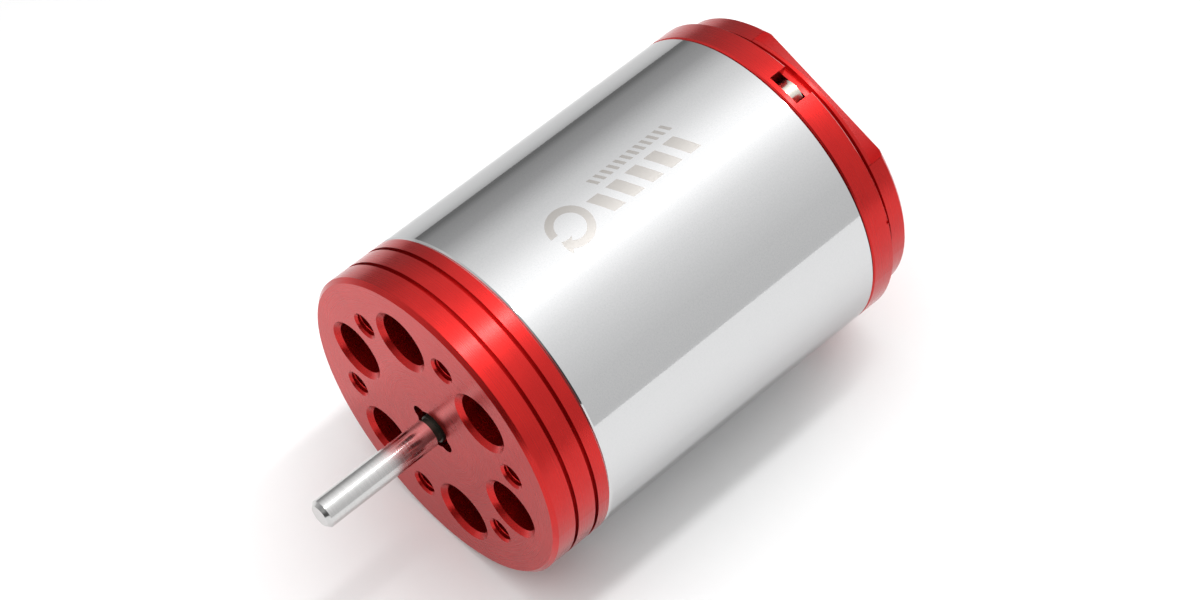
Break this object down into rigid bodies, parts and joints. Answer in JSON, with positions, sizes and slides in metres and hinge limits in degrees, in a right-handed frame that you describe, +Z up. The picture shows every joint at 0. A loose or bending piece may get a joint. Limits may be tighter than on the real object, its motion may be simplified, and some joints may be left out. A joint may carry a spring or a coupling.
{
  "type": "brushless motor",
  "caption": "Round inrunner electric motor: steel can between red end bells, thin output shaft, vented mounting face with a ring of threaded holes.",
  "frame": {"origin": "centre of the mounting face, on the shaft axis", "axes": "-Y along the output shaft, out of the mounting face; +Y towards the rear cap; +Z up, the motor lies on its side"},
  "size_m": [0.036, 0.0706, 0.036],
  "materials": {
    "red_anodised_aluminium": "satin red anodised, fine turning marks",
    "polished_steel": "polished, laser-marked",
    "ground_steel": "ground, bright",
    "nickel_screw": "nickel plated",
    "black_screw": "black oxide",
    "lamination_steel": "stacked laminations, coated",
    "moulded_insulator": "moulded, matt",
    "enamelled_copper": "enamelled copper wire",
    "circuit_board": "green solder mask",
    "sensor_package": "moulded epoxy",
    "connector_plastic": "moulded nylon",
    "terminal_plastic": "glass-filled nylon",
    "gold_plate": "gold plated brass",
    "bearing_steel": "ground bearing steel",
    "bearing_balls": "mirror polished",
    "pressed_brass": "machined brass",
    "shield_steel": "pressed sheet",
    "spring_steel": "rolled spring steel",
    "magnet": "nickel-coated sintered magnet",
    "carbon_sleeve": "wound fibre, resin coated"
  },
  "bodies": {
    "housing": {"front_end_bell": "red_anodised_aluminium", "can": "polished_steel", "rear_ring": "red_anodised_aluminium", "rear_cap": "red_anodised_aluminium", "long_screws": "nickel_screw", "cap_screws": "black_screw", "stator_core": "lamination_steel", "front_insulator": "moulded_insulator", "rear_insulator": "moulded_insulator", "winding_a": "enamelled_copper", "winding_b": "enamelled_copper", "winding_c": "enamelled_copper", "sensor_board": "circuit_board", "hall_sensors": "sensor_package", "board_screws": "nickel_screw", "sensor_socket": "connector_plastic", "sensor_pins": "gold_plate", "terminal_block": "terminal_plastic", "solder_tab_a": "gold_plate", "solder_tab_b": "gold_plate", "solder_tab_c": "gold_plate", "phase_leads": "enamelled_copper", "front_outer_ring": "bearing_steel", "front_shields": "shield_steel", "rear_outer_ring": "bearing_steel", "rear_shields": "shield_steel", "wave_washer": "spring_steel"},
    "rotor": {"shaft": "ground_steel", "rotor_magnet": "magnet", "rotor_sleeve": "carbon_sleeve", "front_balance_ring": "pressed_brass", "rear_balance_ring": "pressed_brass", "front_shim": "spring_steel", "rear_shim": "spring_steel", "front_inner_ring": "bearing_steel", "rear_inner_ring": "bearing_steel"},
    "front_ball_set": {"front_balls": "bearing_balls", "front_cage": "pressed_brass"},
    "rear_ball_set": {"rear_balls": "bearing_balls", "rear_cage": "pressed_brass"}
  },
  "joints": [
    {"name": "rotor_spin", "type": "hinge", "parent": "housing", "child": "rotor", "pos_m": [0, 0, 0], "axis": [0, -1, 0], "continuous": true},
    {"name": "front_ball_spin", "type": "hinge", "parent": "housing", "child": "front_ball_set", "pos_m": [0, 0.0036, 0], "axis": [0, -1, 0], "continuous": true},
    {"name": "rear_ball_spin", "type": "hinge", "parent": "housing", "child": "rear_ball_set", "pos_m": [0, 0.0476, 0], "axis": [0, -1, 0], "continuous": true}
  ],
  "couplings": [
    {"joint": "front_ball_spin", "follows": "rotor_spin", "ratio": 0.375},
    {"joint": "rear_ball_spin", "follows": "rotor_spin", "ratio": 0.375}
  ]
}
